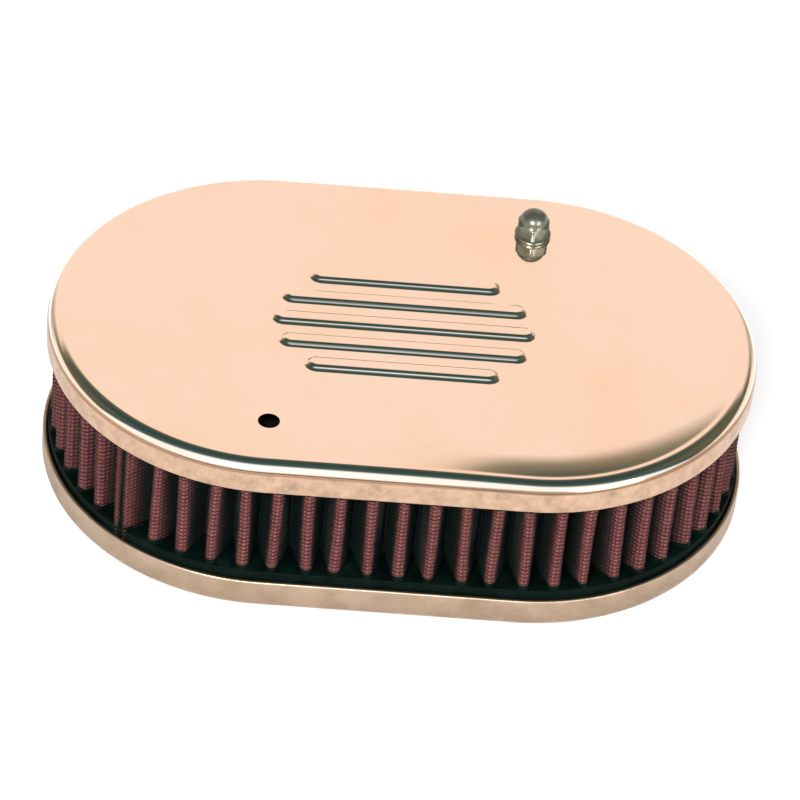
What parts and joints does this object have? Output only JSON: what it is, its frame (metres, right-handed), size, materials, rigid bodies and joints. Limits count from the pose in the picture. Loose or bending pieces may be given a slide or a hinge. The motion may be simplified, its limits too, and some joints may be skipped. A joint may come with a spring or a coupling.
{
  "type": "carburetor air filter",
  "caption": "Oval pleated air filter with a pressed sheet cover and base plate, moulded rubber end seals and a wire-backed cotton element, for a side-draught carburetor.",
  "frame": {"origin": "middle of the base plate's flat underside", "axes": "+X along the oval's long axis, +Z square to the base plate towards the cover, +Y across the short axis, away from the viewer in the picture"},
  "size_m": [0.1778, 0.1142, 0.0545],
  "materials": {
    "cover_sheet": "polished sheet steel",
    "base_sheet": "dull plated sheet steel",
    "seal_rubber": "black moulded polyurethane",
    "oiled_cotton": "oiled red-brown cotton gauze",
    "screen_wire": "black coated aluminium wire cloth",
    "seam_adhesive": "black elastic adhesive",
    "plated_fastener": "bright nickel plate"
  },
  "bodies": {
    "root": {"cover": "cover_sheet", "base_plate": "base_sheet", "upper_seal": "seal_rubber", "lower_seal": "seal_rubber", "outer_screen": "screen_wire", "cotton_gauze": "oiled_cotton", "inner_screen": "screen_wire", "seam_bead": "seam_adhesive", "cover_screw": "plated_fastener", "lock_washer": "plated_fastener", "cap_nut": "plated_fastener"}
  },
  "joints": []
}
